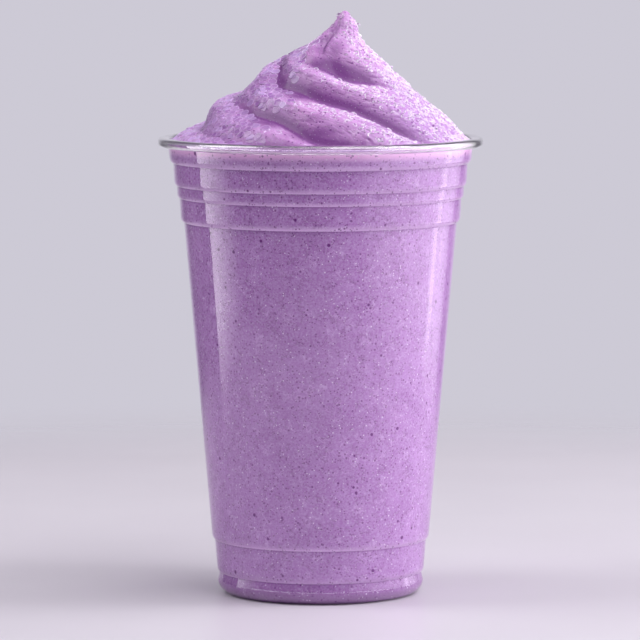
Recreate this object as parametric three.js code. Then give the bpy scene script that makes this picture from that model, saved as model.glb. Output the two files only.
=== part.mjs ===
// Blended taro slush in a clear, thin-walled drinks cup, heaped in a piped swirl.
// Millimetres, +Z up, origin at the centre of the foot. The front faces -Y and the
// swirl's peak leans towards +X.
import * as THREE from 'three';

// Driving dimensions of the cup
const rimRadius = 49.0;
const cupHeight = 137.9;
const skin = 0.5;
const slushGap = 0.3;
const insetLift = 0.8;
const cupFacets = 60;
const slushFacets = 72;

// The foot: a flat ring that the cup stands on, a rounded heel, and a raised floor
const standInner = 26.0;
const standOuter = 27.0;
const heelRadius = 31.1;
const heelHeight = 3.8;
const floorRise = 2.6;
const floorEdge = 24.4;
const heelSteps = { outer: 4, inner: 3 };

// The ledges that stiffen the wall, from the foot up. Each is a crease at a height, the
// wall's radius there, how far the ledge steps out and how tall its rounding is.
const ledges = [
  { height: 6.4, radius: 30.5, step: 0.9, rise: 2.2 },
  { height: 16.4, radius: 32.05, step: 0.9, rise: 2.1 },
  { height: 112.3, radius: 41.1, step: 1.05, rise: 1.8 },
  { height: 119.6, radius: 42.45, step: 0.7, rise: 1.4 },
  { height: 123.3, radius: 43.25, step: 0.8, rise: 1.7 },
  { height: 130.1, radius: 44.3, step: 1.2, rise: 2.1 },
];
const ledgeSteps = { outer: 2, inner: 1 };

// The rolled rim: a hollow curl of the same sheet, left open underneath
const curlCentre = { radius: 47.25, height: 136.5 };
const curlHalf = { width: rimRadius - curlCentre.radius, height: cupHeight - curlCentre.height };
const curlSteps = { outer: 10, inner: 6 };
const curlStart = 180;
const curlEnd = -120;

// The heap: a leaning cone whose surface is grooved by flutes that climb round it. Grooves
// cut along the cone's slope direction, and fade towards the tip and the rim.
const heapBase = 136.6;
const heapRadius = 45.1;
const heapHeight = 39.2;
const coneCurve = 1.03;
const tipRound = 1.1;
const tipFade = 1.2;
const neck = { height: 32.3, spread: 3.0, depth: 1.3 };
const outwards = 0.66;
const upwards = 0.75;
const tipCalm = 4;
const rimCalm = 2.5;
const heapRings = 25;
const ringCrowding = 1.25;

// The heap's facets turn with the flutes, so that their edges lie along the grooves
const gridTwist = 0.35;
const gridBend = 1.786;

// The peak leans to +X in three easy bends: heights where each starts and ends, and its shift
const leans = [
  { from: 0, to: 9, shift: 1.5 },
  { from: 14, to: 24, shift: 0.9 },
  { from: 27, to: 36, shift: 4.9 },
];

// Flutes: each groove leaves the rim at the azimuth `start` (0 is the front, 90 is +X) and
// climbs as it turns towards the left. After a turn of t degrees it has reached the height
// base + climb * t^bend + late * t^2. Its side above is `over` wide and the one below `under`.
// It shows between the turns `from` and `to`, and fades in and out there.
const plainFlute = { base: -4, late: 0, from: 0 };
const flutes = [
  { start: 122, climb: 2.01, bend: 0.533, to: 300, depth: 1.8, over: 4.5, under: 5.0 },
  { start: 62, climb: 1.8, bend: 0.56, to: 290, depth: 3.4, over: 7.0, under: 4.6 },
  { start: 16, climb: 1.2, bend: 0.615, to: 260, depth: 3.0, over: 6.5, under: 4.6 },
  { start: -2, climb: 2.3, bend: 0.28, late: 3e-4, to: 260, depth: 2.8, over: 5.0, under: 4.0 },
  { start: 119, base: 0, climb: 0.222, bend: 1.0, from: 70, to: 172, depth: 2.6, over: 5.0, under: 5.5 },
  { start: -130, climb: 1.5, bend: 0.573, to: 200, depth: 2.8, over: 6.0, under: 4.6 },
  { start: 172, climb: 1.546, bend: 0.573, to: 130, depth: 2.6, over: 6.0, under: 4.6 },
].map((flute) => ({ ...plainFlute, ...flute }));
const grooveSharpness = 1.6;
const grooveRound = { reach: 0.4, lift: 0.25 };
const leadIn = 70;
const fadeIn = { early: 14, atRim: 10 };
const fadeOut = 30;

// Two fuller folds on the left flank, where the piped rope was laid thickest
const bulges = [
  { azimuth: -100, height: 10.5, spread: 42, rise: 4.2, depth: 1.4 },
  { azimuth: -84, height: 21.0, spread: 34, rise: 4.5, depth: 0.9 },
];

// The right flank is nearly smooth, and the upper left end of the main flute is shallow
const calmSide = { azimuth: 95, spread: 40, share: 0.75 };
const calmTop = { from: 27, to: 37, share: 0.75 };
const shallowLeft = { flute: 1, azimuth: -100, spread: 30, share: 0.5 };

const radians = Math.PI / 180;

function ease(from, to, value) {
  const t = Math.min(Math.max((value - from) / (to - from), 0), 1);
  return t * t * (3 - 2 * t);
}

function turnBetween(azimuth, reference) {
  const turn = azimuth - reference;
  return turn - 360 * Math.round(turn / 360);
}

function positiveAngle(angle) {
  return ((angle % 360) + 360) % 360;
}

// Points of an ellipse from one angle to another, in degrees from the +radius direction
function arc(centre, half, from, to, steps) {
  const points = [];
  for (let i = 0; i <= steps; i += 1) {
    const angle = (from + ((to - from) * i) / steps) * radians;
    const radius = centre.radius + half.width * Math.cos(angle);
    points.push([radius, centre.height + half.height * Math.sin(angle)]);
  }
  return points;
}

// Half outline of the foot, from the axis to the heel, at a distance inside the outer surface
function footOutline(inset) {
  const steps = inset > 0 ? heelSteps.inner : heelSteps.outer;
  const heelCentre = { radius: standOuter, height: heelHeight };
  const heelHalf = { width: heelRadius - inset - standOuter, height: heelHeight - inset };
  return [
    [0, floorRise + inset],
    [floorEdge + inset * insetLift, floorRise + inset],
    [standInner, inset],
    ...arc(heelCentre, heelHalf, -90, 0, steps),
  ];
}

// Half outline of the wall from the heel to just under the rim. Each ledge is a quarter
// round that starts level at its crease. Inner surfaces are the outer one moved in and up.
function wallOutline(inset) {
  const lift = inset * insetLift;
  const steps = inset > 0 ? ledgeSteps.inner : ledgeSteps.outer;
  const points = [];
  for (const ledge of ledges) {
    const centre = { radius: ledge.radius - inset, height: ledge.height + ledge.rise + lift };
    const half = { width: ledge.step, height: ledge.rise };
    points.push(...arc(centre, half, -90, 0, steps));
  }
  return points;
}

// The cup is one sheet: out along the foot, up the wall, over the curl and back down inside
function cupOutline() {
  const curlHollow = { width: curlHalf.width - skin, height: curlHalf.height - skin };
  const curlInside = arc(curlCentre, curlHollow, curlStart, curlEnd, curlSteps.inner);
  const curlOutside = arc(curlCentre, curlHalf, curlEnd, curlStart, curlSteps.outer);
  const inside = [...footOutline(skin), ...wallOutline(skin)].reverse();
  return [...footOutline(0), ...wallOutline(0), ...curlInside, ...curlOutside, ...inside];
}

function makeCup() {
  const outline = cupOutline().map(([radius, height]) => new THREE.Vector2(radius, height));
  const geometry = new THREE.LatheGeometry(outline, cupFacets);
  geometry.rotateX(Math.PI / 2);
  return geometry;
}

function fluteHeight(flute, turn) {
  const run = Math.abs(turn);
  return flute.base + Math.sign(turn) * flute.climb * run ** flute.bend + flute.late * run * run;
}

// How deep the flutes cut at an azimuth and a height on the cone
function grooveDepth(azimuth, height) {
  const right = turnBetween(azimuth, calmSide.azimuth) / calmSide.spread;
  const calm = 1 - calmSide.share * Math.exp(-(right ** 2));
  const top = 1 - calmTop.share * ease(calmTop.from, calmTop.to, height);
  let deepest = 0;
  flutes.forEach((flute, index) => {
    const turn = positiveAngle(flute.start - azimuth + leadIn) - leadIn;
    const away = height - fluteHeight(flute, turn);
    const side = away > 0 ? flute.over : flute.under;
    const distance = Math.hypot(away, grooveRound.reach) - grooveRound.lift;
    const section = Math.max(1 - distance / side, 0) ** grooveSharpness;
    const shift = flute.from > 0 ? 0 : fadeIn.atRim;
    let fade = 1 - ease(flute.to - fadeOut, flute.to, turn);
    fade *= ease(flute.from - fadeIn.early, flute.from + fadeIn.early, turn + shift);
    if (index === shallowLeft.flute) {
      const left = turnBetween(azimuth, shallowLeft.azimuth) / shallowLeft.spread;
      fade *= 1 - shallowLeft.share * Math.exp(-(left ** 2));
    }
    deepest = Math.max(deepest, flute.depth * section * fade * calm * top);
  });
  for (const bulge of bulges) {
    const around = turnBetween(azimuth, bulge.azimuth) / bulge.spread;
    const along = (height - bulge.height) / bulge.rise;
    deepest -= bulge.depth * Math.exp(-(around ** 2) - along ** 2);
  }
  return deepest;
}

// A point of the heap's surface
function heapPoint(azimuth, height) {
  const left = heapHeight - height;
  const tip = tipRound * Math.sqrt(left) * Math.exp(-left / tipFade);
  const waist = neck.depth * Math.exp(-(((height - neck.height) / neck.spread) ** 2));
  const cone = heapRadius * (left / heapHeight) ** coneCurve + tip - waist;
  const groove = grooveDepth(azimuth, height) * ease(0, tipCalm, cone);
  const radius = cone - outwards * groove;
  const rise = height - upwards * groove * ease(0, rimCalm, height);
  const lean = leans.reduce((sum, bend) => sum + bend.shift * ease(bend.from, bend.to, height), 0);
  const angle = azimuth * radians;
  return new THREE.Vector3(lean + radius * Math.sin(angle), -radius * Math.cos(angle), heapBase + rise);
}

// The slush is one solid: rings of points up the inside of the cup, then up the heap
function makeSlush() {
  const inset = skin + slushGap;
  const [[, floorHeight], ...fillOutline] = [...footOutline(inset), ...wallOutline(inset)];
  const rings = [];
  for (const [radius, height] of fillOutline) {
    rings.push((azimuth) => {
      const angle = azimuth * radians;
      return new THREE.Vector3(radius * Math.sin(angle), -radius * Math.cos(angle), height);
    });
  }
  for (let i = 0; i < heapRings; i += 1) {
    const height = heapHeight * (1 - (1 - i / heapRings) ** ringCrowding);
    const twist = gridTwist * (height - plainFlute.base) ** gridBend;
    rings.push((azimuth) => heapPoint(azimuth - twist, height));
  }
  const positions = [0, 0, floorHeight];
  for (const ring of rings) {
    for (let i = 0; i < slushFacets; i += 1) {
      positions.push(...ring((360 * i) / slushFacets).toArray());
    }
  }
  const tip = heapPoint(0, heapHeight);
  positions.push(...tip.toArray());
  const last = positions.length / 3 - 1;
  const index = [];
  for (let i = 0; i < slushFacets; i += 1) {
    const next = (i + 1) % slushFacets;
    index.push(0, 1 + next, 1 + i);
    for (let ring = 0; ring < rings.length - 1; ring += 1) {
      const low = 1 + ring * slushFacets;
      const high = low + slushFacets;
      index.push(low + i, low + next, high + next, low + i, high + next, high + i);
    }
    const top = 1 + (rings.length - 1) * slushFacets;
    index.push(top + i, top + next, last);
  }
  const geometry = new THREE.BufferGeometry();
  geometry.setAttribute('position', new THREE.Float32BufferAttribute(positions, 3));
  geometry.setIndex(index);
  geometry.computeVertexNormals();
  return geometry;
}

const clearPlastic = new THREE.MeshStandardMaterial({
  color: 0xe9ecf2, roughness: 0.08, metalness: 0, transparent: true, opacity: 0.25,
});
const taroSlushMaterial = new THREE.MeshStandardMaterial({
  color: 0xaf87c1, roughness: 0.35, metalness: 0,
});

const cup = new THREE.Mesh(makeCup(), clearPlastic);
cup.name = 'cup';

const slush = new THREE.Mesh(makeSlush(), taroSlushMaterial);
slush.name = 'taro_slush';

const drink = new THREE.Group();
drink.add(cup, slush);

export default drink;
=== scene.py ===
import bisect
import itertools
import math
import random

import bpy
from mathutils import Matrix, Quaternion, Vector, noise
from mathutils.bvhtree import BVHTree


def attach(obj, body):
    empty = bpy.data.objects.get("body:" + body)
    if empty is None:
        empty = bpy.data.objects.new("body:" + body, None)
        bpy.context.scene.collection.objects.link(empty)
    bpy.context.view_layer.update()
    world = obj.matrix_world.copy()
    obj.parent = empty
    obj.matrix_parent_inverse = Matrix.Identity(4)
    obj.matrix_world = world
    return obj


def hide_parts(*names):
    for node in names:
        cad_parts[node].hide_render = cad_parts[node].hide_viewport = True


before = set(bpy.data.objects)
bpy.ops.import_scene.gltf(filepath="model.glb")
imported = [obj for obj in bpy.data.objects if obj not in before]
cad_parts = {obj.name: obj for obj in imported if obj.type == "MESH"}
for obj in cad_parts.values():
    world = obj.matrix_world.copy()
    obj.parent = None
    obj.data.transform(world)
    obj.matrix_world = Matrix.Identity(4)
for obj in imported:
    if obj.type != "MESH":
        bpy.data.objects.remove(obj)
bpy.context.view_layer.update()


# The camera stands about 1.4 m in front of the cup, a little above its rim, and looks
# slightly down through a long lens.
camera_data = bpy.data.cameras.new("camera")
camera_data.sensor_width = 36
camera_data.lens = 266.39
camera = bpy.data.objects.new("camera", camera_data)
camera.location = (-0.00015, -1.4235, 0.2173)
camera_dip = 5.41
camera.rotation_euler = (math.radians(90 - camera_dip), 0, 0)
bpy.context.collection.objects.link(camera)
bpy.context.scene.camera = camera


# The cup is one clear PET sheet, drawn hot into a mould: a raised floor in a standing ring,
# a rounded heel, six stiffening ledges, and a rim rolled outwards into a hollow curl.
# Sizes here and below are in millimetres.
mm = 0.001
sheet = 0.5
stand_inner, stand_outer = 26.0, 27.0
heel_radius, heel_height = 31.1, 3.8
floor_rise, floor_edge = 2.6, 24.4
rim_radius, cup_height = 49.0, 137.9
curl_radius, curl_height = 47.25, 136.5
curl_start, curl_end = 180, -120
curl_fullness = 0.75
ledges = [  # height and radius of the crease, how far the ledge steps out, its rounding
    (6.4, 30.5, 0.9, 2.2),
    (16.4, 32.05, 0.9, 2.1),
    (112.3, 41.1, 1.05, 1.8),
    (119.6, 42.45, 0.7, 1.4),
    (123.3, 43.25, 0.8, 1.7),
    (130.1, 44.3, 1.2, 2.1),
]
inset_lift = 0.8
crease_margins = (2.2, 0.8, 0.25)
rim_haze_height = 135.1
cup_columns = 240


def arc(radius, height, wide, tall, start, end, steps, fullness=1.0):
    """Points of an ellipse round (radius, height), from one angle to another. It gets squarer
    as its fullness falls under 1."""
    angles = [math.radians(start + (end - start) * i / steps) for i in range(steps + 1)]

    def reach(share):
        return math.copysign(abs(share) ** fullness, share)

    return [(radius + wide * reach(math.cos(a)), height + tall * reach(math.sin(a))) for a in angles]


def foot_outline(inset):
    """Half outline of the foot, from the axis to the heel, inside the outer face."""
    wide = heel_radius - inset - stand_outer
    return [
        (0, floor_rise + inset),
        (floor_edge + inset * inset_lift, floor_rise + inset),
        (stand_inner, inset),
        *arc(stand_outer, heel_height, wide, heel_height - inset, -90, 0, 10),
    ]


def wall_outline(inset):
    """Half outline of the wall, from the heel to just under the rim."""
    points = []
    start = (heel_radius - inset, heel_height)
    for height, radius, step, rise in ledges:
        top = height + rise + inset * inset_lift
        ledge = arc(radius - inset, top, step, rise, -90, 0, 8)
        crease = ledge[0]
        for margin in crease_margins:
            share = min(margin / (crease[1] - start[1]), 0.9)
            points.append(tuple(c + (s - c) * share for c, s in zip(crease, start)))
        points += ledge
        start = ledge[-1]
    return points


def cup_outline():
    """Out along the foot, up the wall, round the curl and back down the inside."""
    wide, tall = rim_radius - curl_radius, cup_height - curl_height
    under = arc(curl_radius, curl_height, wide - sheet, tall - sheet, curl_start, curl_end, 25,
                curl_fullness)
    over = arc(curl_radius, curl_height, wide, tall, curl_end, curl_start, 40, curl_fullness)
    inside = foot_outline(sheet) + wall_outline(sheet)
    return foot_outline(0) + wall_outline(0) + under + over + inside[::-1]


def stitch(low, high, low_count, high_count):
    """Faces between two rings of vertices. One ring may have twice the other's vertices."""
    faces = []
    count = min(low_count, high_count)
    low_step, high_step = low_count // count, high_count // count
    for i in range(count):
        a = low + low_step * i
        b = low + low_step * (i + 1) % low_count
        c = high + high_step * i
        d = high + high_step * (i + 1) % high_count
        if low_step == high_step:
            faces.append((a, b, d, c))
        elif low_step > 1:
            faces += [(a, a + 1, c), (a + 1, d, c), (a + 1, b, d)]
        else:
            faces += [(a, c + 1, c), (a, b, c + 1), (b, d, c + 1)]
    return faces


def ringed_mesh(name, first, rings, last):
    """A closed mesh from a first point, over rings of points, to a last point."""
    points = [first]
    faces = []
    starts = []
    for ring in rings:
        starts.append(len(points))
        points += ring
    points.append(last)
    counts = [len(ring) for ring in rings]
    for i in range(counts[0]):
        faces.append((0, starts[0] + (i + 1) % counts[0], starts[0] + i))
    for i in range(len(rings) - 1):
        faces += stitch(starts[i], starts[i + 1], counts[i], counts[i + 1])
    for i in range(counts[-1]):
        faces.append((starts[-1] + i, starts[-1] + (i + 1) % counts[-1], len(points) - 1))
    mesh = bpy.data.meshes.new(name)
    mesh.from_pydata([Vector(point) * mm for point in points], [], faces)
    mesh.shade_smooth()
    mesh.set_sharp_from_angle(angle=math.radians(40))
    return mesh


def turned_ring(radius, height, count, twist=0.0):
    """A level ring of points. Azimuth 0 faces -Y, and 90 faces +X."""
    angles = [math.radians(360 * i / count - twist) for i in range(count)]
    return [(radius * math.sin(a), -radius * math.cos(a), height) for a in angles]


def add_node(tree, kind, inputs=None, **settings):
    """One shader node with its settings, and inputs that are values or sockets."""
    made = tree.nodes.new("ShaderNode" + kind)
    for name, value in settings.items():
        setattr(made, name, value)
    for name, value in (inputs or {}).items():
        if isinstance(value, bpy.types.NodeSocket):
            tree.links.new(value, made.inputs[name])
        else:
            made.inputs[name].default_value = value
    return made


def new_material(name):
    """An empty material, its node tree, its output and its object coordinates."""
    material = bpy.data.materials.new(name)
    material.use_nodes = True
    tree = material.node_tree
    tree.nodes.clear()
    output = add_node(tree, "OutputMaterial")
    place = add_node(tree, "TexCoord").outputs["Object"]
    return material, tree, output, place


def add_piece(name, mesh, materials, node):
    """A piece that stands for a node of the frame and rides on the one body."""
    piece = bpy.data.objects.new(name, mesh)
    bpy.context.collection.objects.link(piece)
    for material in materials:
        mesh.materials.append(material)
    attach(piece, "root")
    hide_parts(node)
    return piece


def clear_pet(name, clearness, coat):
    """Clear plastic: glass to the eye, with the faint waviness of a drawn sheet."""
    material, tree, output, place = new_material(name)
    ripple_size = add_node(tree, "Mapping", {"Vector": place, "Scale": (1, 1, 0.35)})
    ripple = add_node(tree, "TexNoise", {"Vector": ripple_size.outputs[0], "Scale": 110, "Detail": 2})
    haze = add_node(tree, "TexNoise", {"Vector": place, "Scale": 400, "Detail": 3})
    rough = add_node(tree, "MapRange", {"Value": haze.outputs["Fac"], "To Min": 0.01, "To Max": 0.05})
    bump = add_node(tree, "Bump", {"Height": ripple.outputs["Fac"], "Strength": 0.1, "Distance": 0.0004})
    plastic = add_node(tree, "BsdfPrincipled", {
        "Base Color": (0.985, 0.98, 0.99, 1),
        "Roughness": rough.outputs["Result"],
        "IOR": 1.57,
        "Transmission Weight": clearness,
        "Coat Weight": coat,
        "Coat IOR": 1.6,
        "Coat Roughness": 0.03,
        "Normal": bump.outputs["Normal"],
    })
    clear = add_node(tree, "BsdfTransparent", {"Color": (0.96, 0.955, 0.965, 1)})
    path = add_node(tree, "LightPath")
    passed = add_node(tree, "Math", operation="MAXIMUM")
    tree.links.new(path.outputs["Is Shadow Ray"], passed.inputs[0])
    tree.links.new(path.outputs["Is Diffuse Ray"], passed.inputs[1])
    mix = add_node(tree, "MixShader", {0: passed.outputs[0], 1: plastic.outputs[0], 2: clear.outputs[0]})
    tree.links.new(mix.outputs[0], output.inputs["Surface"])
    return material


profile = cup_outline()
cup_rings = [turned_ring(radius, height, cup_columns) for radius, height in profile[1:-1]]
cup_mesh = ringed_mesh("cup", (0, 0, profile[0][1]), cup_rings, (0, 0, profile[-1][1]))
cup_sheets = [clear_pet("clear_pet", 1.0, 0.0), clear_pet("rolled_rim_pet", 1.0, 1.0)]
add_piece("clear_cup", cup_mesh, cup_sheets, "cup")
for face in cup_mesh.polygons:
    face.material_index = int(face.center.z > rim_haze_height * mm)


# The slush is taro blended with ice until it just holds its shape. It fills the cup out to
# the wall, wets it, and is piped on in one thick rope that turns up to a leaning peak.
wall_reach = 0.15
fill_columns = 320
heap_base, heap_radius, heap_height = 136.6, 45.1, 39.2
brim_radius, brim_height = 45.9, 135.4
cone_curve = 1.03
tip_round, tip_fade = 1.1, 1.2
neck_height, neck_spread, neck_depth = 32.3, 3.0, 1.3
outwards, upwards = 0.66, 0.75
tip_calm, rim_calm = 4, 2.5
heap_rings = 170
widest_count, least_gap = 640, 0.215
flute_base = -4
grid_twist, grid_bend = 0.35, 1.786
leans = [(0, 9, 1.5), (14, 24, 0.9), (27, 36, 4.9)]  # from, to and shift of each bend

# Each flute leaves the rim at an azimuth and climbs as it turns left: it has reached
# base + climb * turn ** bend + late * turn ** 2 after a turn in degrees. It is lifted, and
# made deeper or shallower, round some azimuths: that azimuth, its spread, and how much.
# A flute's painted shade fades out over the turns just before dark_to.
plain_flute = {"base": flute_base, "late": 0, "from": 0, "dark_to": 400, "lifts": [], "depths": []}
flutes = [
    {"start": 122, "climb": 3.085, "bend": 0.45, "from": 78, "to": 300, "depth": 2.4, "over": 7.5,
     "under": 6.5, "dark_to": 168, "lifts": [(32, 16, 1.0), (2, 14, 0.8)],
     "depths": [(14, 18, 0.6), (-26, 24, -0.3)]},
    {"start": 52, "climb": 2.58, "bend": 0.5, "from": 5, "to": 280, "depth": 3.4, "over": 7.0,
     "under": 6.2, "lifts": [(-42, 16, -1.8), (18, 16, 1.2)], "depths": [(-90, 28, -0.5)]},
    {"start": 26, "climb": 1.31, "bend": 0.56, "late": 8e-5, "to": 270, "depth": 3.0, "over": 6.5,
     "under": 6.2, "lifts": [(-2, 11, -1.1), (-26, 12, 0.9)], "depths": [(-67, 25, -0.45)]},
    {"start": -2, "climb": 2.3, "bend": 0.28, "late": 3e-4, "to": 260,
     "depth": 2.7, "over": 5.0, "under": 4.0, "depths": [(-50, 32, -0.6)]},
    {"start": 119, "base": 0, "climb": 0.222, "bend": 1.0, "from": 126, "to": 172,
     "depth": 2.8, "over": 6.0, "under": 7.5},
    {"start": -130, "climb": 1.5, "bend": 0.573, "to": 158, "depth": 2.8, "over": 6.0, "under": 4.6},
    {"start": 172, "climb": 1.546, "bend": 0.573, "to": 98, "depth": 2.6, "over": 6.0, "under": 4.6},
]
flutes = [{**plain_flute, **flute} for flute in flutes]
groove_sharpness, ridge_roundness = 1.6, 4
groove_reach, groove_lift = 0.4, 0.25
lead_in = 70
fade_early, fade_at_rim, fade_out = 14, 10, 30
bulges = [(-100, 10.5, 42, 4.2, 1.4), (-84, 21.0, 34, 4.5, 0.3), (-88, 18.5, 14, 2.2, -0.9),
          (-88, 6.0, 14, 1.6, -0.8)]
# Painted shade: each pocket darkens the colour of a hollow.
pockets = [  # azimuth and height of each dark hollow, its spread, its rise and its darkness
    (-62, 19.0, 14, 4.0, 0.5),
    (-18, 29.2, 22, 2.4, 0.6),
    (8, 28.2, 18, 3.0, 0.7),
    (-30, 34.5, 50, 2.8, 0.5),
    (-32, 31.2, 14, 1.6, 0.75),
    (-18, 16.7, 14, 1.9, 0.97),
    (-30, 19.2, 12, 1.7, 0.7),
    (-10, 8.8, 14, 1.8, 0.6),
    (-30, 8.7, 13, 2.0, 0.9),
    (-42, 4.6, 16, 2.6, 0.5),
    (-3, 5.6, 15, 2.4, 0.9),
    (28, 7.2, 12, 1.5, 0.3),
    (-74, 8.0, 13, 3.4, 0.45),
]
calm_azimuth, calm_spread, calm_share = 100, 36, 0.75
calm_top_from, calm_top_to = 27, 37
# How the painted shade under a fold falls off below and above its valley line, its gain, and how far it
# fades.
shade_below, shade_curve, shade_gain, dark_fade = 0.8, 1.8, 1.3, 35
crease_fade = 0.5


def ease(start, end, value):
    """0 before start, 1 after end, and smooth between them."""
    t = min(max((value - start) / (end - start), 0), 1)
    return t * t * (3 - 2 * t)


def turn_between(azimuth, reference):
    """The turn from a reference to an azimuth, from -180 to 180 degrees."""
    return (azimuth - reference + 180) % 360 - 180


def changed(changes, azimuth):
    """The sum of a flute's changes at an azimuth."""
    return sum(change * math.exp(-(turn_between(azimuth, centre) / spread) ** 2)
               for centre, spread, change in changes)


def grooves(azimuth, height):
    """How deep the flutes cut at a place on the cone, and how much painted shade it gets under a fold."""
    right = turn_between(azimuth, calm_azimuth) / calm_spread
    calm = 1 - calm_share * math.exp(-right ** 2)
    calm *= 1 - calm_share * ease(calm_top_from, calm_top_to, height)
    depths, shade = 0, 0
    for flute in flutes:
        turn = (flute["start"] - azimuth + lead_in) % 360 - lead_in
        climbed = flute["climb"] * abs(turn) ** flute["bend"]
        level = flute["base"] + math.copysign(climbed, turn) + flute["late"] * turn * turn
        level += changed(flute["lifts"], azimuth)
        away = height - level
        side = flute["over"] if away > 0 else flute["under"]
        share = 1 - (math.hypot(away, groove_reach) - groove_lift) / side
        if share <= 0:
            continue
        shift = 0 if flute["from"] > 0 else fade_at_rim
        fade = 1 - ease(flute["to"] - fade_out, flute["to"], turn)
        fade *= ease(flute["from"] - fade_early, flute["from"] + fade_early, turn + shift)
        fade *= 1 + changed(flute["depths"], azimuth)
        depths += (flute["depth"] * share ** groove_sharpness * fade * calm) ** ridge_roundness
        under = share ** shade_curve if away > 0 else math.exp(-(away / shade_below) ** 2)
        dark = 1 - ease(flute["dark_to"] - dark_fade, flute["dark_to"], turn)
        shade = max(shade, min(shade_gain * under * fade * calm * dark, 1))
    deepest = depths ** (1 / ridge_roundness)
    for centre, level, spread, rise, depth in bulges:
        around = turn_between(azimuth, centre) / spread
        deepest -= depth * math.exp(-around ** 2 - ((height - level) / rise) ** 2)
    for centre, level, spread, rise, dark in pockets:
        around = turn_between(azimuth, centre) / spread
        shade = max(shade, dark * math.exp(-around ** 2 - ((height - level) / rise) ** 2))
    return deepest, shade


def heap_axis(height):
    """How far the heap's axis has bent to the right at a height."""
    return sum(shift * ease(start, end, height) for start, end, shift in leans)


def heap_point(azimuth, height):
    """A point of the piped heap's smooth surface, and how much painted shade it gets under a fold."""
    left = heap_height - height
    tip = tip_round * math.sqrt(left) * math.exp(-left / tip_fade)
    waist = neck_depth * math.exp(-(((height - neck_height) / neck_spread) ** 2))
    cone = heap_radius * (left / heap_height) ** cone_curve + tip - waist
    groove, shade = grooves(azimuth, height)
    groove *= ease(0, tip_calm, cone)
    radius = cone - outwards * groove
    rise = height - upwards * groove * ease(0, rim_calm, height)
    angle = math.radians(azimuth)
    x = heap_axis(height) + radius * math.sin(angle)
    return (x, -radius * math.cos(angle), heap_base + rise), shade


def heap_ring(height):
    """A ring of the heap, with fewer points where it is narrow. It turns with the flutes."""
    cone = heap_radius * (1 - height / heap_height)
    count = widest_count
    while math.tau * cone / count < least_gap and count > 40:
        count //= 2
    twist = grid_twist * (height - flute_base) ** grid_bend
    return [heap_point(360 * i / count - twist, height) for i in range(count)]


def crease_shade(height):
    """How near a place lies under one of the wall's creases, on its inner face, as painted shade."""
    below = [crease[0] + (sheet - wall_reach) * inset_lift - height for crease in ledges]
    return max(math.exp(-depth / crease_fade) if depth > -0.01 else 0.0 for depth in below)


def slush_skin():
    """The mesh of fill and heap, with the painted shade each vertex gets under a fold or a crease."""
    inset = sheet - wall_reach
    twist = grid_twist * (-flute_base) ** grid_bend
    outline = foot_outline(inset) + wall_outline(inset)
    outline += arc(heap_radius, brim_height, brim_radius - heap_radius, heap_base - brim_height, 0, 60, 4)
    bottom = (0, 0, outline[0][1])
    fill = [turned_ring(radius, height, fill_columns, twist) for radius, height in outline[1:]]
    heap = [heap_ring(heap_height * i / heap_rings) for i in range(heap_rings)]
    tip, tip_shade = heap_point(0, heap_height)
    rings = fill + [[point for point, shade in ring] for ring in heap]
    mesh = ringed_mesh("blended_slush", bottom, rings, tip)
    shades = [crease_shade(point[2]) for ring in [[bottom]] + fill for point in ring]
    shades += [shade for ring in heap for point, shade in ring] + [tip_shade]
    # Painted shade: how much each vertex is darkened under a fold or a crease.
    mesh.attributes.new("painted_shade", "FLOAT", "POINT").data.foreach_set("value", shades)
    return mesh


# Ice swells under the heap's wet skin in blunt lumps of about 2 mm, least on its front.
lump_size, lump_height = 1.7, 0.5
left_azimuth, plates_dwindle, plates_end, plates_calm = -112, 50, 110, 0.45
grit_size, grit_height = 0.9, 0.06
front_azimuth, front_spread = 5, 50


def azimuth_of(point):
    """The azimuth of a point of the heap round its bent axis."""
    return math.degrees(math.atan2(point.x - heap_axis(point.z - heap_base), -point.y))


def icy_share(azimuth):
    """How much the ice shows: most on the flanks and the back, least on the smooth front."""
    around = turn_between(azimuth, front_azimuth) / front_spread
    return 1 - 0.5 * math.exp(-around ** 4)


def ice_lump(point):
    """How far the ice swells out at a point, from -1 to 1."""
    bent = point + 0.5 * noise.noise_vector(point / 1.7)
    distances, centres = noise.voronoi(bent / lump_size)
    dome = 1 - math.exp(-4.5 * (distances[1] - distances[0]))
    return 0.75 * dome + 0.7 * noise.cell(centres[0] * 9.7) - 0.7


def roughen(mesh):
    """Swell the heap's skin out over the ice, and keep how icy each place is."""
    icy = mesh.attributes.new("icy", "FLOAT", "POINT")
    moved = []
    for vertex in mesh.vertices:
        point = vertex.co / mm
        rise = point.z - heap_base
        share = ease(-0.2, 1.5, rise) * ease(0, 3, heap_height - rise)
        shift = 0.0
        if share > 0:
            azimuth = azimuth_of(point)
            share *= icy_share(azimuth) * ease(1.0, 0.2, painted_shade[vertex.index].value)
            icy.data[vertex.index].value = share
            grit = noise.noise(point / grit_size)
            plates = 1 - ease(plates_dwindle, plates_end, abs(turn_between(azimuth, left_azimuth)))
            lump = lump_height * (1 - plates_calm * plates)
            shift = share * (lump * ice_lump(point) + grit_height * grit)
        moved.append(vertex.co + vertex.normal * shift * mm)
    for vertex, place in zip(mesh.vertices, moved):
        vertex.co = place


def flecks(tree, place, gap, radius, share):
    """Round flecks of one radius or less, one in a share of the cells of a loose grid."""
    cells = add_node(tree, "TexVoronoi", {"Vector": place, "Scale": 1 / (gap * mm)})
    pick = add_node(tree, "SeparateColor", {"Color": cells.outputs["Color"]})
    reach = add_node(tree, "MapRange", {
        "Value": pick.outputs["Green"], "To Min": 0.5 * radius / gap, "To Max": radius / gap,
    })
    inside = add_node(tree, "Math", {0: reach.outputs["Result"], 1: cells.outputs["Distance"]},
                      operation="SUBTRACT")
    fleck = add_node(tree, "MapRange", {
        "Value": inside.outputs[0], "From Min": 0.0, "From Max": 0.35 * radius / gap,
    }).outputs["Result"]
    picked = add_node(tree, "Math", {0: pick.outputs["Red"], 1: share}, operation="LESS_THAN").outputs[0]
    return times(tree, fleck, picked)


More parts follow.
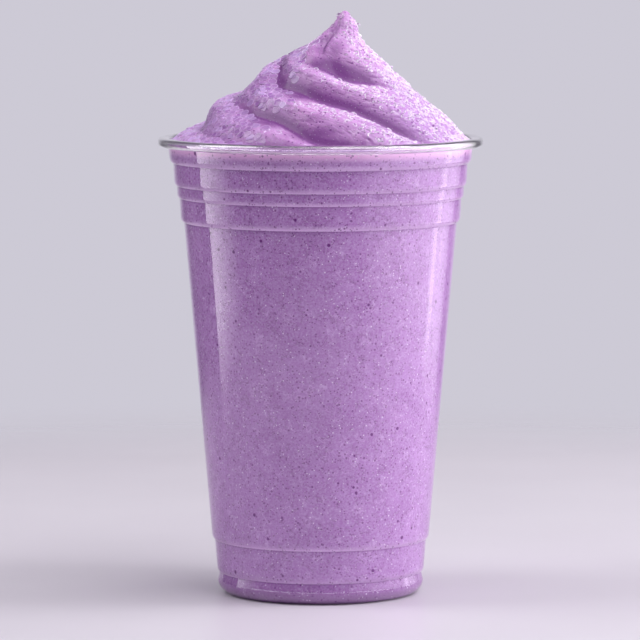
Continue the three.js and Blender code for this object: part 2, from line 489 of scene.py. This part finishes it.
def mixed(tree, share, first, second, kind="MIX"):
    """A mix of two colours by a share."""
    mix = add_node(tree, "Mix", data_type="RGBA", blend_type=kind)
    for index, value in ((0, share), (6, first), (7, second)):
        if isinstance(value, bpy.types.NodeSocket):
            tree.links.new(value, mix.inputs[index])
        else:
            mix.inputs[index].default_value = value
    return mix.outputs[2]


def spread(tree, value, low, high, to_low=0.0, to_high=1.0):
    """A value's range, from low to high, stretched to another."""
    return add_node(tree, "MapRange", {
        "Value": value, "From Min": low, "From Max": high, "To Min": to_low, "To Max": to_high,
    }).outputs["Result"]


def times(tree, value, factor):
    """A value times another."""
    return add_node(tree, "Math", {0: value, 1: factor}, operation="MULTIPLY").outputs[0]


taro = (0.54, 0.29, 0.635, 1)
taro_dull = (0.46, 0.235, 0.555, 1)
# The deepest taro, which also paints the shade under the folds and creases.
deep_taro_and_shade = (0.165, 0.043, 0.215, 1)
melt = (0.48, 0.224, 0.585, 1)
melt_dull = (0.41, 0.176, 0.505, 1)
taro_dark = (0.33, 0.125, 0.44, 1)
taro_pink = (0.57, 0.285, 0.58, 1)
flank_mauve = (0.42, 0.21, 0.53, 1)
taro_pale = (0.80, 0.66, 0.92, 1)
# Pale pink for the painted light just under the rim.
brim_light_pink = (0.95, 0.56, 0.92, 1)
# A pale lilac for cracks, which also paints the light on the ledges.
crack_pale_and_ledge_light = (0.82, 0.56, 0.90, 1)
taro_blue = (0.60, 0.42, 0.83, 1)
lilac = (0.73, 0.51, 0.86, 1)
# A pale white for ice specks, which also paints the glints on the right.
ice_and_glint_white = (0.84, 0.72, 0.89, 1)
root_fleck = (0.17, 0.03, 0.23, 1)
fleck_mauve = (0.22, 0.07, 0.28, 1)
# Where, along X, the painted glint whitens the ice.
glint_span = (-0.02, 0.012)


def threads(tree, place, gap, width):
    """Broken threads along the edges of a net, a gap wide, for fine cracks in the ice."""
    bend = add_node(tree, "TexNoise", {"Vector": place, "Scale": 2 / (gap * mm), "Detail": 1})
    bend = add_node(tree, "VectorMath", {0: bend.outputs["Color"], "Scale": gap * mm}, operation="SCALE")
    bent = add_node(tree, "VectorMath", {0: place, 1: bend.outputs[0]}, operation="ADD").outputs[0]
    net = {"Vector": bent, "Scale": 1 / (gap * mm)}
    edge = add_node(tree, "TexVoronoi", net, feature="DISTANCE_TO_EDGE").outputs["Distance"]
    shown = add_node(tree, "TexNoise", {"Vector": place, "Scale": 1 / (gap * mm), "Detail": 1})
    shown = spread(tree, shown.outputs["Fac"], 0.5, 0.6)
    return times(tree, spread(tree, edge, 0.5 * width / gap, width / gap, 1, 0), shown)


def slush_in_cup():
    """Slush seen through the wall: matt, cloudy, cracked and flecked. It has painted shade under
    each crease of the wall and towards the bottom, painted light on the downward ledge above each crease,
    and a painted light band just under the rim."""
    material, tree, output, place = new_material("slush_in_cup")
    cloud = add_node(tree, "TexNoise", {"Vector": place, "Scale": 130, "Detail": 5}).outputs["Fac"]
    grain = add_node(tree, "TexNoise", {"Vector": place, "Scale": 1700, "Detail": 2}).outputs["Fac"]
    colour = mixed(tree, spread(tree, cloud, 0.3, 0.7), melt_dull, melt)
    colour = mixed(tree, spread(tree, grain, 0.4, 0.7, 0, 0.3), colour, taro_pale)
    colour = mixed(tree, times(tree, threads(tree, place, 3.1, 0.22), 0.3), colour, deep_taro_and_shade)
    colour = mixed(tree, times(tree, threads(tree, place, 4.3, 0.2), 0.3), colour, crack_pale_and_ledge_light)
    # Painted light: faces that turn downwards, on the ledges, are paler, as if lit from the floor.
    facing = add_node(tree, "NewGeometry").outputs["Normal"]
    downward = times(tree, add_node(tree, "SeparateXYZ", {"Vector": facing}).outputs["Z"], -1.0)
    colour = mixed(tree, spread(tree, downward, 0.05, 0.7, 0, 0.8), colour, crack_pale_and_ledge_light)
    # Painted shade under each crease of the wall.
    under = add_node(tree, "Attribute", attribute_name="painted_shade").outputs["Fac"]
    colour = mixed(tree, spread(tree, under, 0.1, 1.0, 0, 0.7), colour, deep_taro_and_shade)
    height = add_node(tree, "SeparateXYZ", {"Vector": place}).outputs["Z"]
    # Painted light: a pale pink band just under the rim.
    brim_light = times(tree, spread(tree, height, 0.1326, 0.1346), spread(tree, height, 0.1358, 0.1352))
    colour = mixed(tree, brim_light, colour, brim_light_pink)
    # Painted shade: darker towards the bottom of the cup.
    colour = mixed(tree, spread(tree, height, 0.008, 0.001, 0, 0.7), colour, deep_taro_and_shade)
    colour = mixed(tree, flecks(tree, place, 1.1, 0.26, 0.6), colour, ice_and_glint_white)
    colour = mixed(tree, times(tree, flecks(tree, place, 0.95, 0.34, 0.75), 0.8), colour, fleck_mauve)
    colour = mixed(tree, times(tree, flecks(tree, place, 1.7, 0.42, 0.6), 0.9), colour, fleck_mauve)
    colour = mixed(tree, flecks(tree, place, 4.4, 0.7, 0.75), colour, root_fleck)
    skin = add_node(tree, "BsdfPrincipled", {
        "Base Color": colour, "Roughness": 0.6, "Specular IOR Level": 0.1,
    })
    tree.links.new(skin.outputs[0], output.inputs["Surface"])
    return material


def paint_fold_shade(tree, colour):
    """A colour darkened by painted shade where a place lies under a fold."""
    under = add_node(tree, "Attribute", attribute_name="painted_shade").outputs["Fac"]
    return mixed(tree, spread(tree, under, 0.05, 0.95, 0, 0.94), colour, deep_taro_and_shade)


def frost_and_glint(tree, place):
    """The colour of bare ice: lilac, whitened by a painted glint on the right flank."""
    rightwards = add_node(tree, "SeparateXYZ", {"Vector": place}).outputs["X"]
    return mixed(tree, spread(tree, rightwards, *glint_span), lilac, ice_and_glint_white)


def slush_in_air():
    """Slush above the rim: wet and glossy, with painted shade under the folds, painted darker on the
    right flank against its strong light, curled and mottled by ice on the flanks, with pale threads that
    whiten to a painted glint on the right, and small dark flecks."""
    material, tree, output, place = new_material("slush_in_air")
    tone = add_node(tree, "TexNoise", {"Vector": place, "Scale": 90, "Detail": 2}).outputs["Fac"]
    colour = mixed(tree, tone, taro_pink, taro)
    # Painted shade: the right flank is darkened against the strong light from the right.
    rightwards = add_node(tree, "SeparateXYZ", {"Vector": place}).outputs["X"]
    colour = mixed(tree, spread(tree, rightwards, 0.008, 0.03, 0, 0.8), colour, flank_mauve)
    icy = add_node(tree, "Attribute", attribute_name="icy").outputs["Fac"]
    mottle = add_node(tree, "TexNoise", {"Vector": place, "Scale": 700, "Detail": 1}).outputs["Fac"]
    colour = mixed(tree, times(tree, spread(tree, mottle, 0.4, 0.7), times(tree, icy, 0.3)), colour, lilac)
    # Pale threads of cracked ice, whitened on the right by a painted glint.
    frost_and_glint_lines = times(tree, threads(tree, place, 2.0, 0.26), icy)
    colour = mixed(tree, times(tree, frost_and_glint_lines, 0.55), colour, frost_and_glint(tree, place))
    # Painted shade under the folds.
    colour = paint_fold_shade(tree, colour)
    colour = mixed(tree, times(tree, flecks(tree, place, 1.2, 0.42, 0.9), 0.95), colour, deep_taro_and_shade)
    grit = add_node(tree, "TexNoise", {"Vector": place, "Scale": 1100, "Detail": 2}).outputs["Fac"]
    rough = add_node(tree, "Bump", {"Height": grit, "Strength": 0.3, "Distance": 0.0002}).outputs[0]
    rough = add_node(tree, "Bump", {"Height": frost_and_glint_lines, "Strength": 0.5, "Distance": 0.0001,
                                    "Normal": rough}).outputs[0]
    skin = add_node(tree, "BsdfPrincipled", {
        "Base Color": colour, "Roughness": 0.4, "IOR": 1.36, "Specular IOR Level": 0.25,
        "Subsurface Weight": 0.25, "Subsurface Radius": (1.0, 0.55, 1.0), "Subsurface Scale": 0.001,
        "Coat Weight": 0.4, "Coat Roughness": 0.1, "Coat IOR": 1.33,
        "Normal": rough, "Coat Normal": rough,
    })
    tree.links.new(skin.outputs[0], output.inputs["Surface"])
    return material


slush_mesh = slush_skin()
heap_faces = [face for face in slush_mesh.polygons if face.center.z > (heap_base + 0.5) * mm]
painted_shade = slush_mesh.attributes["painted_shade"].data
smooth_heap = [
    (face.normal.copy(), face.area / mm ** 2, max(painted_shade[i].value for i in face.vertices))
    for face in heap_faces
]
roughen(slush_mesh)
heap_places = [(face.center / mm, *place) for face, place in zip(heap_faces, smooth_heap)]
add_piece("blended_slush", slush_mesh, [slush_in_cup(), slush_in_air()], "taro_slush")
for face in slush_mesh.polygons:
    face.material_index = int(face.center.z > heap_base * mm)


# Flakes of ice lie in the heap's wet skin like scales: thin melted plates of 1.5 to 2.6 mm
# with a raised rim, pressed side to side. They crowd the left flank and the back, and stop
# short of the front.
plate_sides = 12
plate_reach, plate_spacing, plate_crack = 1.7, 1.75, 0.06
plate_tilt = 0.045
skin_reach = 0.7
plate_section = [(0.0, -0.12, 0.0), (0.04, 0.08, 0.6), (0.12, 0.13, 1.0), (0.3, 0.08, 0.35)]
plate_patch = 2.5
plate_mauve = (0.43, 0.23, 0.53, 1)
tip_bare = 31
draw = random.Random(7)
heap_skin = BVHTree.FromPolygons([vertex.co / mm for vertex in slush_mesh.vertices],
                                 [face.vertices for face in heap_faces])


def scatter(gap, chance, tries):
    """Places drawn over the heap by area, a gap apart, each kept by its own chance."""
    weights = list(itertools.accumulate(area for _, _, area, _ in heap_places))
    taken = {}
    chosen = []
    for _ in range(tries):
        centre, normal, area, shade = heap_places[bisect.bisect(weights, draw.random() * weights[-1])]
        spot = centre + Vector([draw.uniform(-0.2, 0.2) for _ in range(3)])
        near = neighbours(taken, spot, gap)
        if draw.random() > chance(centre, normal, shade) or any((p - spot).length < gap for p in near):
            continue
        taken.setdefault(grid_cell(spot, gap), []).append(spot)
        chosen.append((spot, normal, shade))
    return chosen


def grid_cell(spot, gap):
    """The cell of a loose grid that holds a spot."""
    return tuple(int(c // gap) for c in spot)


def neighbours(taken, spot, gap):
    """The spots in a spot's own cell of the grid and in those round it."""
    cell = grid_cell(spot, gap)
    return [other for step in itertools.product((-1, 0, 1), repeat=3)
            for other in taken.get(tuple(c + d for c, d in zip(cell, step)), ())]


def on_skin(point, up):
    """The place of the heap's skin under or over a point."""
    return heap_skin.ray_cast(point + up * skin_reach, -up, 2 * skin_reach)[0] or point


def scattered_mesh(name, spots, tilt, shape):
    """Many small forms that cling to the skin at the given spots, joined in one mesh. A shape
    gives its points in its own frame, how pale each is, and its faces."""
    points, faces, pale, tones, shades = [], [], [], [], []
    for spot, normal, shade in spots:
        up = (normal + Vector([draw.gauss(0, tilt) for _ in range(3)])).normalized()
        across = up.orthogonal().normalized()
        across.rotate(Quaternion(up, draw.uniform(0, math.tau)))
        along = up.cross(across)
        start = len(points)
        form, paleness, sides = shape(spot, across, along)
        lean_x, lean_y = draw.gauss(0, tilt), draw.gauss(0, tilt)
        points += [(on_skin(spot + across * x + along * y, up) + up * (z + lean_x * x + lean_y * y)) * mm
                   for x, y, z in form]
        pale += paleness
        tones += [draw.random()] * len(form)
        shades += [shade] * len(form)
        faces += [[start + corner for corner in side] for side in sides]
    mesh = bpy.data.meshes.new(name)
    mesh.from_pydata(points, [], faces)
    mesh.shade_smooth()
    mesh.set_sharp_from_angle(angle=math.radians(75))
    for kept, values in (("pale_edge", pale), ("own_tone", tones), ("painted_shade", shades)):
        mesh.attributes.new(kept, "FLOAT", "POINT").data.foreach_set("value", values)
    return mesh


def turned_form(section, reaches):
    """A form turned about its axis with an uneven outline, closed by a point on top. Its
    section gives how far each ring lies inside the outline, its height and how pale it is."""
    sides = len(reaches)
    angles = [math.tau * i / sides for i in range(sides)]
    points = [((reach - inside) * math.cos(angle), (reach - inside) * math.sin(angle), height)
              for inside, height, _ in section for reach, angle in zip(reaches, angles)]
    pale = [paleness for _, _, paleness in section for _ in reaches]
    faces = [face for i in range(len(section) - 1)
             for face in stitch(i * sides, (i + 1) * sides, sides, sides)]
    top = len(points) - sides
    faces += [(top + i, top + (i + 1) % sides, len(points)) for i in range(sides)]
    return points + [(0, 0, section[-1][1])], pale + [section[-1][2]], faces


plate_grid = {}


def plate_form(spot, across, along):
    """A plate that reaches out to its neighbours' edges, a crack short, or to its own size."""
    reaches = []
    size = draw.uniform(0.75, 1) * plate_reach
    others = [other - spot for other in neighbours(plate_grid, spot, 2 * plate_reach) if other != spot]
    for i in range(plate_sides):
        angle = math.tau * i / plate_sides
        way = across * math.cos(angle) + along * math.sin(angle)
        edges = [(other.length_squared / 2 / other.dot(way)) - plate_crack
                 for other in others if other.dot(way) > 0.01]
        reaches.append(max(min(edges + [size * draw.uniform(0.92, 1)]), 0.45))
    return turned_form(plate_section, reaches)


def plate_chance(centre, normal, shade):
    """Whether a plate may lie at a place: all over the left flank and the back, then in ever
    smaller patches towards the front and the tip."""
    around = abs(turn_between(azimuth_of(centre), left_azimuth))
    below_tip = 1 - ease(tip_bare - 5, tip_bare, centre.z - heap_base)
    share = below_tip * (1 - ease(plates_dwindle, plates_end, around)) * (1 - ease(0.5, 0.85, shade))
    return float(share > 0.5 + 0.6 * noise.noise(centre / plate_patch))


def wet_ice(name, deep, rim_share, gloss):
    """Ice in taro: each piece has a tone of its own, painted shade under the folds, and a pale, glossier
    raised edge that whitens to a painted glint on the right.
    """
    material, tree, output, place = new_material(name)
    edge = add_node(tree, "Attribute", attribute_name="pale_edge").outputs["Fac"]
    own = add_node(tree, "Attribute", attribute_name="own_tone").outputs["Fac"]
    under = add_node(tree, "Attribute", attribute_name="painted_shade").outputs["Fac"]
    tone = add_node(tree, "TexNoise", {"Vector": place, "Scale": 300, "Detail": 1}).outputs["Fac"]
    colour = mixed(tree, spread(tree, tone, 0.35, 0.65), deep, taro_dull)
    colour = mixed(tree, spread(tree, own, 0.68, 0.8, 0, 0.5), colour, taro_blue)
    colour = mixed(tree, spread(tree, own, 0.4, 0.1, 0, 0.9), colour, taro_dark)
    colour = mixed(tree, spread(tree, edge, 0.0, 0.25, 0.8, 0), colour, deep_taro_and_shade)
    # Painted shade under the folds, as on the skin.
    colour = paint_fold_shade(tree, colour)
    # Painted shade: the pale edge dims under the folds.
    rim_shade = spread(tree, under, 0.0, 0.8, rim_share, 0.3 * rim_share)
    colour = mixed(tree, times(tree, spread(tree, edge, 0.3, 1.0), rim_shade), colour, frost_and_glint(tree, place))
    wave = add_node(tree, "TexNoise", {"Vector": place, "Scale": 1500, "Detail": 1}).outputs["Fac"]
    bump = add_node(tree, "Bump", {"Height": wave, "Strength": 0.3, "Distance": 0.0001})
    skin = add_node(tree, "BsdfPrincipled", {
        "Base Color": colour, "Roughness": 0.35, "IOR": 1.33, "Specular IOR Level": 0.3,
        "Subsurface Weight": 0.1, "Subsurface Radius": (1.0, 0.6, 1.0), "Subsurface Scale": 0.0005,
        "Coat Weight": gloss, "Coat Roughness": 0.05, "Coat IOR": 1.5,
        "Normal": bump.outputs["Normal"],
    })
    tree.links.new(skin.outputs[0], output.inputs["Surface"])
    return material


plate_spots = scatter(plate_spacing, plate_chance, 30000)
for spot, normal, shade in plate_spots:
    plate_grid.setdefault(grid_cell(spot, 2 * plate_reach), []).append(spot)
plate_mesh = scattered_mesh("ice_plates", plate_spots, plate_tilt, plate_form)
add_piece("ice_plates", plate_mesh, [wet_ice("plate_ice", plate_mauve, 0.9, 0.6)],
          "taro_slush")


# Where the plates have melted, only their rims are left: thin pale curls of ice, 1 to 3 mm
# long, white on the right with a painted glint. They lie all over the right flank, and on the crests of
# the folds beside it.
curl_radius_range = (0.4, 1.2)
curl_length = (1.0, 4.2)
curl_gap = 1.05
curl_tilt = 0.06
curl_width, curl_crest, curl_root = 0.21, 0.17, 0.05
curl_step = 30
curls_from, curls_full, curls_dwindle, curls_end = -35, 50, 140, 185
crest_from, crest_to = 0.45, 0.75
peak_turn, peak_span = 45, (20, 30)
bare_tip = (36.0, 38.0)


def curl_form(spot, across, along):
    """A bent ridge with a triangular section that tapers at both ends."""
    radius = draw.uniform(*curl_radius_range)
    turn = min(draw.uniform(*curl_length) / radius, math.radians(280))
    steps = max(4, round(math.degrees(turn) / curl_step))
    wobble, phase = draw.uniform(0, 0.2), draw.uniform(0, math.tau)
    points, pale, faces = [], [], []
    for i in range(steps + 1):
        angle = turn * i / steps
        swell = 0.35 + 0.65 * math.sin(math.pi * i / steps) ** 0.5
        reach = radius * (1 + wobble * math.sin(2 * angle + phase))
        for out, height in ((curl_width, -curl_root), (0, curl_crest * swell), (-curl_width, -curl_root)):
            away = reach + out * swell
            points.append((away * math.cos(angle) - radius, away * math.sin(angle), height))
        pale += [1.0] * 3
    for i in range(0, 3 * steps, 3):
        faces += [(i, i + 3, i + 4, i + 1), (i + 1, i + 4, i + 5, i + 2), (i + 2, i + 5, i + 3, i)]
    end = 3 * steps
    return points, pale, faces + [(0, 1, 2), (end + 2, end + 1, end)]


def curl_chance(centre, normal, shade):
    """The chance of a curl at a place: most on the right, and on crests, none under a fold."""
    height = centre.z - heap_base
    azimuth = azimuth_of(centre) + peak_turn * ease(*peak_span, height)
    rightness = ease(curls_from, curls_full, azimuth) * (1 - ease(curls_dwindle, curls_end, azimuth))
    rightness *= 1 - ease(*bare_tip, height)
    crest = ease(crest_from, crest_to, normal.z)
    return rightness * (rightness + (1 - rightness) * crest) * (1 - ease(0.05, 0.3, shade))


curl_spots = scatter(curl_gap, curl_chance, 60000)
curl_mesh = scattered_mesh("ice_curls", curl_spots, curl_tilt, curl_form)
add_piece("ice_curls", curl_mesh, [wet_ice("curl_ice", lilac, 1.0, 1.0)],
          "taro_slush")


# Grains of ice stand in the wet skin all over the heap as small bright beads, painted pale as glints.
bead_section = [(0.0, -0.1, 1.0), (0.03, 0.1, 1.0), (0.08, 0.16, 1.0)]
bead_radius = (0.1, 0.18)
bead_gap = 1.3
bead_mesh = scattered_mesh(
    "ice_beads", scatter(bead_gap, lambda *place: 0.8, 26000), 0.1,
    lambda *place: turned_form(bead_section, [draw.uniform(*bead_radius)] * 6))
add_piece("ice_beads", bead_mesh, [wet_ice("bead_ice", taro, 1.0, 1.0)],
          "taro_slush")


# The studio: a pale matt floor, a tall soft window to the right, a narrower one behind to
# the left, and a small soft key light above on the right.
def soft_light(name, azimuth, distance, low, high, aim, width, glow, fade=(0.0, 0.0, 0.0)):
    """A soft light box round the cup that faces its axis. It may fade to its left, its right
    or its foot."""
    data = bpy.data.lights.new(name, "AREA")
    data.shape = "RECTANGLE"
    lamp = bpy.data.objects.new(name, data)
    angle = math.radians(azimuth)
    lamp.location = (distance * math.sin(angle), -distance * math.cos(angle), (low + high) / 2)
    towards = Vector((0, 0, aim)) - lamp.location
    lamp.rotation_euler = towards.to_track_quat("-Z", "Y").to_euler()
    data.size = width
    data.size_y = (high - low) / math.hypot(towards.x, towards.y) * towards.length
    data.energy = glow * math.pi * data.size * data.size_y
    if any(fade):
        data.use_nodes = True
        light_tree = data.node_tree
        across = add_node(light_tree, "NewGeometry").outputs["Parametric"]
        across = add_node(light_tree, "SeparateXYZ", {"Vector": across}).outputs
        power = spread(light_tree, across["X"], 0.0, max(fade[0], 0.001))
        power = times(light_tree, power, spread(light_tree, across["X"], 1.0, 1 - max(fade[1], 0.001)))
        power = times(light_tree, power, spread(light_tree, across["Y"], 1.0, 1 - max(fade[2], 0.001)))
        emission = light_tree.nodes["Emission"]
        light_tree.links.new(power, emission.inputs["Strength"])
    lamp.visible_camera = False
    bpy.context.collection.objects.link(lamp)
    return lamp


soft_light("right_window", 84, 0.75, -0.15, 0.85, 0.35, 2.5, 1.85, fade=(0.5, 0.25, 0.0))
soft_light("right_strip", 112, 0.8, -0.35, 0.5, 0.1, 0.16, 1.8, fade=(0.5, 0.3, 0.0))
soft_light("right_high", 95, 0.8, 0.3, 0.8, 0.15, 0.8, 1.2)
left_strip = soft_light("left_strip", -89, 0.8, -0.2, 0.28, 0.0, 0.5, 3.3, fade=(0.0, 0.8, 0.5))
left_strip.visible_diffuse = False
soft_light("left_high", -88, 0.6, 0.5, 0.95, 0.15, 0.4, 4.8)
soft_light("front_high", 35, 0.6, 0.8, 1.05, 0.15, 0.6, 3.2)
soft_light("overhead", 40, 0.25, 1.15, 1.35, 0.15, 0.7, 2.2)
soft_light("key", 80, 0.5, 0.75, 0.95, 0.15, 0.2, 11.0)
for azimuth, card_glow in ((-55, 4.2), (0, 3.4), (55, 3.0)):
    card = soft_light("rim_card", azimuth, 0.8, 0.02, 0.12, 0.13, 0.8, card_glow)
    card.visible_diffuse = False

floor_radius, floor_fade = 0.30, 0.22
floor_mesh = bpy.data.meshes.new("floor")
corners = [(0.6 * math.cos(math.radians(a)), 0.6 * math.sin(math.radians(a)), 0) for a in range(0, 360, 3)]
floor_mesh.from_pydata(corners, [], [range(len(corners))])
floor = bpy.data.objects.new("floor", floor_mesh)
bpy.context.collection.objects.link(floor)
material, tree, output, place = new_material("pale_floor")
veil = add_node(tree, "TexNoise", {"Vector": place, "Scale": 14, "Detail": 3}).outputs["Fac"]
floor_colour = mixed(tree, veil, (0.57, 0.53, 0.59, 1), (0.63, 0.59, 0.65, 1))
matt = add_node(tree, "BsdfPrincipled", {"Base Color": floor_colour, "Roughness": 0.4})
away = add_node(tree, "VectorMath", {0: place}, operation="LENGTH").outputs["Value"]
gone = add_node(tree, "MapRange", {"Value": away, "From Min": floor_radius,
                                   "From Max": floor_radius + floor_fade}, interpolation_type="SMOOTHSTEP")
open_air = add_node(tree, "BsdfTransparent")
mix = add_node(tree, "MixShader", {0: gone.outputs[0], 1: matt.outputs[0], 2: open_air.outputs[0]})
tree.links.new(mix.outputs[0], output.inputs["Surface"])
floor_mesh.materials.append(material)

world = bpy.data.worlds.new("studio_air")
world.use_nodes = True
bpy.context.scene.world = world
tree = world.node_tree
tree.nodes.clear()
facing = add_node(tree, "TexCoord").outputs["Generated"]
apart = add_node(tree, "SeparateXYZ", {"Vector": facing})
behind = add_node(tree, "MapRange", {"Value": apart.outputs["Y"], "From Min": 0.86, "From Max": 0.98},
                  interpolation_type="SMOOTHSTEP")
air = mixed(tree, behind.outputs["Result"], (0.14, 0.13, 0.16, 1), (0.61, 0.59, 0.67, 1))
glow = add_node(tree, "Background", {"Color": air, "Strength": 1.0})
tree.links.new(glow.outputs[0], add_node(tree, "OutputWorld").inputs["Surface"])
bpy.context.scene.view_settings.view_transform = "Standard"
